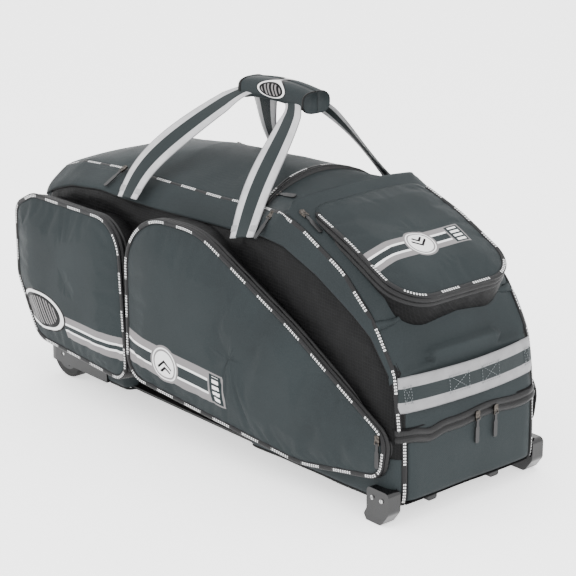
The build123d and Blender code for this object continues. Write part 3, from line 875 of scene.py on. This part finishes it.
# the wall from a cover's rim back to the hull
def gussetGrid(rim, normal, flare, bulge, start, level=1.0, tuck=0.0):
    rows = 12
    n = np.asarray(normal, float) / np.linalg.norm(normal)
    middle = rim.mean(0)
    tangent = np.roll(rim, -1, 0) - np.roll(rim, 1, 0)
    tangent /= np.linalg.norm(tangent, axis=1, keepdims=True)
    outward = np.cross(tangent, n)
    if np.sum(outward * (rim - middle)) < 0:
        outward = -outward
    outward = smoothPath(outward, 6, True)
    rising = np.clip(outward[:, 2:], 0, 1) * level
    backward = np.clip(-outward[:, :1], 0, 1) * tuck
    direction = outward * (flare - rising * 0.3 - backward) - n
    direction /= np.linalg.norm(direction, axis=1, keepdims=True)
    low, high = np.zeros(len(rim)), np.full(len(rim), 130.0)
    for _ in range(20):
        mid = (low + high) / 2
        outside = bagGap(rim + direction * mid[:, None]) > 0
        low, high = np.where(outside, mid, low), np.where(outside, high, mid)
    depth = np.maximum(low, start + 1)
    w = np.linspace(0, 1, rows)[:, None]
    t = start + (depth[None] + 3 - start) * w
    arc = np.cumsum(np.linalg.norm(rim - np.roll(rim, 1, 0), axis=1))
    fold = 1 + 0.35 * np.sin(arc / 37 * 2 * math.pi) + 0.25 * np.sin(arc / 83 * 2 * math.pi + 1)
    swell = bulge * np.sin(np.pi * np.clip(w, 0, 1)) * fold[None] * np.clip(depth / 30, 0, 1)[None]
    swell = swell * (1 - 0.8 * rising[:, 0])[None]
    grid = rim[None] + direction[None] * t[..., None] + outward[None] * swell[..., None]
    return grid, outward, direction


pockets = dict(
    right_front=dict(crown=11, reach=95, thick=6, normal=(0.0896, -0.996, 0), rings=46, seed=0.3,
                     flare=0.2, swell=4),
    right_rear=dict(crown=10, reach=80, thick=6, normal=(0, -1, 0), rings=40, seed=1.7, flare=0.12, swell=4),
    top_pocket=dict(crown=7, reach=70, thick=6, normal=(0.4384, 0, 0.8988), rings=36, seed=2.9,
                    flare=0.1, swell=1.5),
)
tapeWidth, tapeHeight = 4.3, 2.6


def binding(name, path, up, body, closed=True, lift=0.6):
    tangent, ups, sides = frames(np.asarray(path, float), up, closed)
    turn = np.cos(np.linspace(0, 2 * math.pi, 14, endpoint=False))
    piece = sweep(name, path + ups * lift, ups, ellipse(tapeWidth, tapeHeight, 14), closed, across=turn)
    return dress(piece, tape, body, "ripstop_black")


def stitches(name, path, up, body):
    # short thread segments, one at each point of the path
    length, radius = 3.0, 0.42
    tangent, ups, sides = frames(path, up, False)
    ring = ellipse(radius, radius * 0.8, 6)
    points, faces = [], []
    for p, t, u, s in zip(path, tangent, ups, sides):
        k = len(points)
        for at, size in ((-0.5, 0.35), (-0.3, 1), (0.3, 1), (0.5, 0.35)):
            for a, b in ring:
                points.append(p + t * at * length + (s * a + u * b) * size)
        for i in range(3):
            for j in range(6):
                a, b, c = k + i * 6 + j, k + i * 6 + (j + 1) % 6, k + (i + 1) * 6
                faces.append((a, b, c + (j + 1) % 6, c + j))
    piece = makeMesh(name, np.array(points), faces)
    return dress(piece, thread, body, "ripstop_black")


ridged = np.array([(0, 0), (1.6, 0.4), (3.4, 3.0), (5.6, 3.6), (7.6, 2.4), (8.6, 0.6), (9.8, 0.6), (11, 2.6),
                   (13, 3.8), (15.2, 3.0), (16.8, 0.4), (20, 0.0)])


def zipBand(name, rim, outward, direction, start, body, closed=True):
    grid = []
    for a, b in ridged:
        grid.append(rim + direction * (start + a) + outward * (b + 0.7))
    grid = np.array(grid)
    count = len(rim)
    grid = (np.concatenate([grid, grid[:, :1]], 1) if closed else grid).transpose(1, 0, 2)
    distance = np.concatenate([[0], np.cumsum(np.linalg.norm(np.diff(grid[:, 0], axis=0), axis=1))]) / 1000
    run = np.stack(np.broadcast_arrays(np.linspace(0, 1, len(ridged))[None], distance[:, None]), -1)
    piece = makeMesh(name, grid.reshape(-1, 3), gridFaces(count + closed, len(ridged)),
                     run.reshape(-1, 2))
    modify(piece, "SOLIDIFY", thickness=0.0012, offset=-1)
    bake(piece)
    return dress(piece, zipTape, body, "zipper_black")


bandLevel, bandSlope = 0.1375, -0.092
sideMarks = stripeMarks(bandLevel - 0.028, bandSlope, (0.038, 0.056), (0.0, 0.019), 0.0042, (-0.5, 0.084),
                        (-0.0215, 0.0335), (0.082, 0.1155))
rearMarks = stripeMarks(0.1375 - 0.0295, -0.02, (0.0245, 0.0405), (0.0, 0.0165), 0.004, (-0.29, -0.1))


def badge(cx, cz, wide, high):
    def marks(f):
        x, y, z = f.xyz()
        flat = f.node("ShaderNodeCombineXYZ", {}, [(x - midX - cx) / wide, (z - cz) / high, 0.0])
        r = f.node("ShaderNodeVectorMath", dict(operation="LENGTH"), [flat], "Value")
        wave = abs(((x * 0.9 + z * 0.5) % 0.016) - 0.008)
        return [(1 - step(r, 1.0, 0.012), colours["black"]), (inside(r, 0.80, 0.93, 0.01), colours["white"]),
                (inside(wave, 0.0026, 0.0062, 0.0004) * (1 - step(r, 0.66, 0.012)), colours["stripe"])]
    return marks


def topMarks(f):
    x, y, z = f.xyz()
    across = (x - midX - 0.3545) / 0.8988
    turned = f.node("ShaderNodeCombineXYZ", {}, [across, y + 0.0135, 0.0])
    r = f.node("ShaderNodeVectorMath", dict(operation="LENGTH"), [turned], "Value")
    made = []
    inRun = inside(y, -0.13, 0.049)
    for a, b, edge in ((-0.0205, -0.0065, -0.0105), (0.0065, 0.0205, 0.0065)):
        made.append((inside(across, a, b) * inRun, colours["stripe"]))
        made.append((inside(across, edge, edge + 0.004) * inRun, colours["white"]))
    made.append((inside(y, 0.047, 0.079) * inside(across, -0.0205, 0.0205), colours["stripe"]))
    made.append((inside(y, 0.050, 0.0765) * inside(across, -0.018, 0.018), colours["slate"]))
    bars = inside(y, 0.055, 0.0725) * inside((across + 0.1) % 0.009, 0.002, 0.0072)
    bars = bars * inside(across, -0.0155, 0.0155)
    made.append((bars, colours["white"]))
    made += discs(r, (0.029, 0.0255, 0.0235, 0.021))
    chevron = abs(across + abs(y + 0.0135) * 0.8)
    made.append((inside(chevron, 0.0025, 0.0075) * (1 - step(r, 0.0155, 0.0003)), colours["black"]))
    return made


markedSide = coatedCloth("slateSideBand", sideMarks)
markedRear = coatedCloth("slateRearBand", lambda f: rearMarks(f) + badge(-0.365, 0.146, 0.078, 0.036)(f))
markedTop = coatedCloth("slateTopBand", topMarks)
wrapLow, wrapHigh = boxOf("right_grip_wrap")
wrapMiddle = (wrapLow + wrapHigh) / 2000
markedWrap = coatedCloth("slateWrapPatch", badge(wrapMiddle[0], wrapMiddle[2] + 0.004, 0.036, 0.014))
faceFinish = dict(right_front=markedSide, right_rear=markedRear, top_pocket=markedTop)
bodyOf = dict(right_front="right_front_pocket", right_rear="right_rear_pocket", top_pocket="top_pocket_flap")
coverOf = dict(right_front="right_front_cover", right_rear="right_rear_cover", top_pocket="top_pocket_cover")
made = {}
for key, spec in pockets.items():
    cover = coverOf[key]
    normal = np.array(spec["normal"], float)
    normal /= np.linalg.norm(normal)
    rim = resample(rimOf(cover, normal), 7.0, True)
    if key == "top_pocket":
        back = rim[:, 0].min()
        sunk = np.clip(1 - (rim[:, 0] - back) / 92, 0, 1) ** 1.3
        rim = rim * (1 - sunk[:, None]) + onBag(rim, 2.2, 60) * sunk[:, None]
        free = rim[:, 0] > back + 10
        first = int(np.argmax(free & ~np.roll(free, 1)))
        rim, free = np.roll(rim, -first, 0), np.roll(free, -first)
    face = facing(paddedFace(key + "_face", rim, normal, spec["crown"], spec["thick"], spec["reach"],
                             seed=spec["seed"], rings=spec["rings"]), normal)
    count, shown = len(face.data.vertices), spec["rings"] * len(rim)
    settle(face, list(range(len(rim) * 2)) + list(range(shown + 1, count)), 0.005)
    dress(face, faceFinish[key], bodyOf[key], "coated_grey")
    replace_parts(face, cover)
    made[key] = [face]
    ups = np.broadcast_to(normal, rim.shape)
    whole = key != "top_pocket"
    kept = slice(None) if whole else free
    made[key].append(binding(key + "_binding", rim[kept], ups[kept], bodyOf[key], closed=whole, lift=-0.4))
    grid, outward, direction = gussetGrid(rim, normal, spec["flare"], spec["swell"], start=4.5,
                                          level=0 if key == "top_pocket" else 1,
                                          tuck=0.95 if key == "right_rear" else 0)
    side = gridPiece(key + "_gussetSkin", grid, wrapColumns=True)
    facing(side, (0, 0, 1))
    modify(side, "SOLIDIFY", thickness=0.0018, offset=0)
    bake(side)
    dress(side, ripstop, "bag_body", "ripstop_black")
    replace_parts(side, key + "_gusset")
    made[key].append(side)
    made[key].append(zipBand(key + "_zipBand", rim[kept], outward[kept], direction[kept], 3.5, "bag_body",
                             whole))
for key in ("right_front", "right_rear"):
    twin = key.replace("right", "left")
    for piece in made[key]:
        other = mirrored(piece, piece.name.replace("right", "left"))
        other.data.materials.clear()
        other.data.materials.append(piece.data.materials[0])
        body = piece["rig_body"].replace("right", "left")
        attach(other, body)
        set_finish(other, piece["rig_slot"])
        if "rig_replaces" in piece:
            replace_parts(other, *[n.replace("right", "left") for n in piece["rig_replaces"]])

def ribbonProfile(widths, thick, bow=0.0):
    u = np.linspace(-0.5, 0.5, 9)
    edge = thick * np.sqrt(np.clip(1 - (2 * np.abs(u)) ** 8, 0.05, 1)) / 2
    rows = []
    for w in np.atleast_1d(widths):
        crown = bow * (1 - (2 * u) ** 2)
        topRow = np.stack([u * w, edge + crown], -1)
        lowRow = np.stack([u * w, -edge + crown], -1)[::-1]
        rows.append(np.vstack([topRow, lowRow]))
    return np.array(rows), np.concatenate([u + 0.5, (u + 0.5)[::-1]])


# bindings and seams over the body
print("bindings")
sideTurn = [("right", (1, 1, 1)), ("left", (1, -1, 1))]
lidRun = np.linspace(-428, 104, 120)
noseRun = np.concatenate([np.linspace(106, 380, 70), np.linspace(384, 443, 20)])


def cornerDrop(z0, z1, y):
    zs = np.linspace(z0, z1, 26)
    return castAt(400, y, zs, frontWay)


lidSideLine = onBag(edgeLine(lidRun), inward=30)
noseSideLine = onBag(edgeLine(noseRun), inward=30)
drop = cornerDrop(226, 146, -144)
noseSideLine = smoothPath(resample(np.vstack([noseSideLine, drop]), 6), 4)
flapDrop = cornerDrop(137, 34, -138)
for side, mirror in sideTurn:
    for name, line, body in (("LidBinding", lidSideLine, "lid"), ("NoseBinding", noseSideLine, "bag_body"),
                             ("FlapBinding", resample(flapDrop, 5), "shoe_door")):
        path = line * mirror
        piece = binding(side + name, path, bagNormal(path), body, closed=False, lift=0.3)
tagX = np.linspace(-352, -322, 8)
tagPath = onBag(edgeLine(tagX) + [0, 12, 4], 1.4, 30)
tag, around = ribbonProfile([9.0], 1.4)
dress(sweep("lidTag", tagPath, bagNormal(tagPath), tag[0], across=around), tagCloth, "lid", "webbing")
across = np.linspace(-118, 118, 60)
for name, x, body in (("lidFrontBinding", 101.5, "lid"), ("lidRearBinding", -429.5, "bag_body")):
    path = castAt(x, across, 300, upWay)
    binding(name, path, bagNormal(path), body, closed=False, lift=0.5)


def bandOn(name, path, ups, body, profile, material):
    piece = sweep(name, path, ups, profile, openProfile=True)
    modify(piece, "SOLIDIFY", thickness=0.0012, offset=0)
    bake(piece)
    return dress(piece, material, body, "zipper_black")


half = np.array([(0.6, 0.5), (1.6, 2.2), (4, 3.4), (6.4, 2.6), (7.6, 0.6), (9, -0.6)])
twin = np.vstack([half[::-1] * [-1, 1], half])
path = castAt(112.0, across * 0.99, 300, upWay)
piece = bandOn("crossZipBand", path, bagNormal(path), "bag_body", twin * [0.8, 1], zipTape)
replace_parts(piece, "zipper_chains")
ys = np.linspace(-149, 149, 90)
zs = 141 - 10 * np.exp(-((ys + 92) / 24) ** 2) + 2.5 * np.sin(ys / 21)
path = castAt(380, ys, zs, frontWay)
path = smoothPath(path, 2)
bandOn("shoeZipBand", path, bagNormal(path), "bag_body", twin * [1.25, 1.2], zipTape)


def seamCord(name, path, body, radius=1.3):
    piece = sweep(name, path + bagNormal(path) * 0.4, bagNormal(path), ellipse(radius, radius, 8))
    return dress(piece, blackCord, body, "ripstop_black")


blackCord = plainPlastic("blackCord", (0.002, 0.002, 0.002), 0.5, 900, Specular_IOR_Level=0.15)
seam = onBag(seamLine(np.linspace(-405, 440, 150)), inward=30)
edgeLow = wallGrid(columns, np.full(len(columns), 30.0), np.full(len(columns), 31.0), 2)[:, 0]
edgeLow = edgeLow[edgeLow[:, 0] > boxOf("right_wheel_housing")[1][0] + 2]
for side, mirror in sideTurn:
    seamCord(side + "ShoulderSeam", seam * mirror, "bag_body")
    seamCord(side + "BaseSeam", edgeLow * mirror, "bag_body", 2.2)
    for name, x0, x1, below in (("RearLidZip", -335, -232, 9), ("FrontLidZip", 112, 172, 9)):
        xs = np.linspace(x0, x1, 24)
        top, low = edgeLine(xs), seamLine(xs)
        way = (low - top) / np.linalg.norm(low - top, axis=1, keepdims=True)
        path = onBag(top + way * below, inward=30)
        path = path * mirror
        fade = np.clip(np.minimum(np.arange(24), np.arange(24)[::-1]) / 3, 0.25, 1)[:, None, None]
        profile = np.broadcast_to(twin * [0.62, 0.55], (24,) + twin.shape) * np.stack(
            [fade[..., 0] * np.ones(len(twin)), np.ones((24, len(twin)))], -1)
        bandOn(side + name, path, bagNormal(path), "bag_body", profile, zipTape)

# handles
print("handles")
handle = dict(lean=49.25, axisY=-boxOf("right_side_panel")[0][1] + 2, axisZ=384.0, width=50.0, thick=2.4)
lean = math.radians(handle["lean"])
planeUp = np.array([0, math.cos(lean), math.sin(lean)])
planeOut = np.array([0, -math.sin(lean), math.cos(lean)])


def curveThrough(points, step):
    return smoothPath(resample(points, step), 60)


def strapPiece(name, path, ups, widths, material, body, slotName, bow=0.0, thick=2.4):
    profile, share = ribbonProfile(widths, thick, bow)
    piece = sweep(name, path, ups, profile if len(profile) > 1 else profile[0], across=share)
    return dress(piece, material, body, slotName)


legs = dict(rear=[(-172, -4), (-178, 45), (-154, 98), (-112, 160), (-62, 226), (-40, 247), (12, 250)],
            front=[(125, -4), (104, 68), (97, 123), (91, 178), (80, 228), (64, 247), (14, 250)])
for side, mirror in sideTurn:
    for which, spots in legs.items():
        flat = curveThrough(spots, 5.0)
        x, r = flat[:, 0], flat[:, 1]
        path = np.stack([x, -handle["axisY"] + r * planeUp[1], handle["axisZ"] + r * planeUp[2]], -1)
        lift = 5.0 * np.sin(np.clip(r / 240, 0, 1) * math.pi)
        path = path + planeOut * lift[:, None]
        way = np.clip((r - 205) / 35, 0, 1)
        widths = handle["width"] * (1 - way) + 26 * way
        ups = np.tile(planeOut, (len(path), 1))
        twist = 0.25 * np.sin(r / 60.0)
        tangent = np.gradient(path, axis=0)
        tangent /= np.linalg.norm(tangent, axis=1, keepdims=True)
        ups = ups * np.cos(twist)[:, None] + np.cross(tangent, ups) * np.sin(twist)[:, None]
        path, ups = path * mirror, ups * mirror
        handleName, body = side + "_" + which, side + "_handle"
        piece = strapPiece(handleName + "Leg", path, ups, widths, strap, body, "webbing", bow=1.5)
        if which == "rear":
            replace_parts(piece, side + "_carry_webbing")
        strapPiece(handleName + "Bar", path[2:5] + ups[2:5] * 0.5, ups[2:5], np.array([50.5]), silverTape, body,
                   "webbing", thick=3.6)


# one half of the grip, flat on its inner side
def wrapHalf(name, low, high, mirror):
    xs = np.linspace(low[0], high[0], 40)
    cx, half = (low[0] + high[0]) / 2, (high[0] - low[0]) / 2
    wide, top, bottom = -low[1], high[2], low[2]
    turn = np.linspace(-math.pi / 2, math.pi / 2, 22)
    rows = []
    for x in xs:
        t = (x - cx) / half
        flare = 1 + 0.05 * abs(t) ** 6 - 0.05 * t * t
        drop = -7 * t * t
        mid, tall = (top + bottom) / 2 + drop, (top - bottom) / 2 * flare
        loop = []
        for a in turn:
            c, q = math.cos(a), math.sin(a)
            rise = math.copysign(abs(q) ** 0.75, q) * tall
            loop.append((x, -abs(c) ** 0.62 * wide * flare - 0.3, mid + rise))
        rows.append(loop)
    grid = np.array(rows, float) * mirror
    n, m = grid.shape[:2]
    faces = gridFaces(n, m, wrapColumns=True) + [tuple(range(m)), tuple(range((n - 1) * m, n * m))[::-1]]
    if mirror[1] > 0:
        faces = [f[::-1] for f in faces]
    return makeMesh(name, grid.reshape(-1, 3), faces), grid


for side, mirror in sideTurn:
    low, high = boxOf("right_grip_wrap")
    piece, grid = wrapHalf(side + "_wrap", low, high, mirror)
    dress(piece, markedWrap, side + "_handle", "coated_grey")
    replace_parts(piece, side + "_grip_wrap")
    for end in (1, -2):
        ring = resample(grid[end], 3)
        mid = ring.mean(0)
        ups = (ring - mid) * [0, 1, 1]
        piece = sweep(side + "_wrapEnd" + ("A" if end == 1 else "B"), ring, ups, ellipse(2.2, 1.2, 8))
        dress(piece, blackCord, side + "_handle", "ripstop_black")

# tow strap
ys = np.linspace(-143, 143, 80)
hullX = castAt(380, ys, 203.0, frontWay)
bow = 8.0 * np.clip(1 - (ys / 118) ** 2, 0, 1) ** 0.7
lift = 1.2 + bow
frontUp = np.array([0.987, 0, 0.16])
path = hullX + frontUp * lift[:, None]
ups = bagNormal(hullX)
piece = strapPiece("towStrapCloth", path[::-1], ups[::-1], np.array([55.0]), shadedTowCloth, "bag_body",
                   "webbing", bow=0.8)
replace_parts(piece, "tow_strap")


def onStrap(spots):
    lift = 2.6
    spots = resample(spots, 4.8)
    place = np.stack([np.interp(spots[:, 0], ys, path[:, i]) for i in range(3)], -1)
    out = np.stack([np.interp(spots[:, 0], ys, ups[:, i]) for i in range(3)], -1)
    rise = np.stack([-out[:, 2], np.zeros(len(out)), out[:, 0]], -1)
    return place + rise * spots[:, 1:] + out * lift, out


for key, y0, y1 in (("near", -53, -14), ("far", 14, 53), ("nearEnd", -134, -122), ("farEnd", 122, 134)):
    for part, spots in (("box", [(y0, -13), (y1, -13), (y1, 13), (y0, 13), (y0, -13)]),
                        ("cross", [(y0, -13), (y1, 13)]), ("back", [(y0, 13), (y1, -13)])):
        line, out = onStrap(spots)
        stitches("towStitch_" + key + "_" + part, line, out, "bag_body")

# camera, light, floor
print("stage")
camera = bpy.data.objects.new("camera", bpy.data.cameras.new("camera"))
bpy.context.scene.collection.objects.link(camera)
azimuth, elevation, distance = math.radians(49.1), math.radians(18.5), 3.348
aim = np.array([midX + 0.0312, 0, 0.2362])
level = math.cos(elevation)
back = np.array([math.sin(azimuth) * level, -math.cos(azimuth) * level, math.sin(elevation)])
camera.location = aim + back * distance
camera.rotation_mode = "QUATERNION"
camera.rotation_quaternion = Vector(-back).to_track_quat("-Z", "Y")
camera.data.sensor_width = 36
camera.data.lens = 125.97
bpy.context.scene.camera = camera

world = bpy.data.worlds.new("studio")
bpy.context.scene.world = world
world.use_nodes = True
world.node_tree.nodes["Background"].inputs[0].default_value = (1, 1, 1, 1)
world.node_tree.nodes["Background"].inputs[1].default_value = 2.7


def softbox(name, place, size, power):
    light = bpy.data.lights.new(name, "AREA")
    light.shape, light.size, light.size_y, light.energy = "RECTANGLE", size[0], size[1], power
    lamp = bpy.data.objects.new(name, light)
    bpy.context.scene.collection.objects.link(lamp)
    lamp.location = place
    lamp.rotation_mode = "QUATERNION"
    lamp.rotation_quaternion = (Vector((0, 0, 0.2)) - Vector(place)).to_track_quat("-Z", "Y")


softbox("keyBox", (-0.6, -2.6, 2.6), (2.2, 1.6), 36)
softbox("frontBox", (3.0, -0.4, 1.6), (1.6, 1.6), 42)
softbox("topBox", (0, 0.3, 3.2), (2.6, 2.6), 25)

floorMesh = bpy.data.meshes.new("floor")
corners = [(-9, -9), (9, -9), (9, 9), (-9, 9)]
floorMesh.from_pydata([(x, y, -0.0005) for x, y in corners], [], [(0, 1, 2, 3)])
floor = bpy.data.objects.new("floor", floorMesh)
bpy.context.scene.collection.objects.link(floor)
floorFinish = Finish("paleFloor", 0.9)
floorColour = floorFinish.mix(floorFinish.noise(0.5, 1) * 0.1, (0.9, 0.9, 0.9), (0.88, 0.88, 0.88))
floorMesh.materials.append(floorFinish.give(Emission_Color=(1, 1, 1, 1), Emission_Strength=1.1,
                                            Base_Color=floorColour))
floor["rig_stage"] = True

# size
low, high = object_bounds()
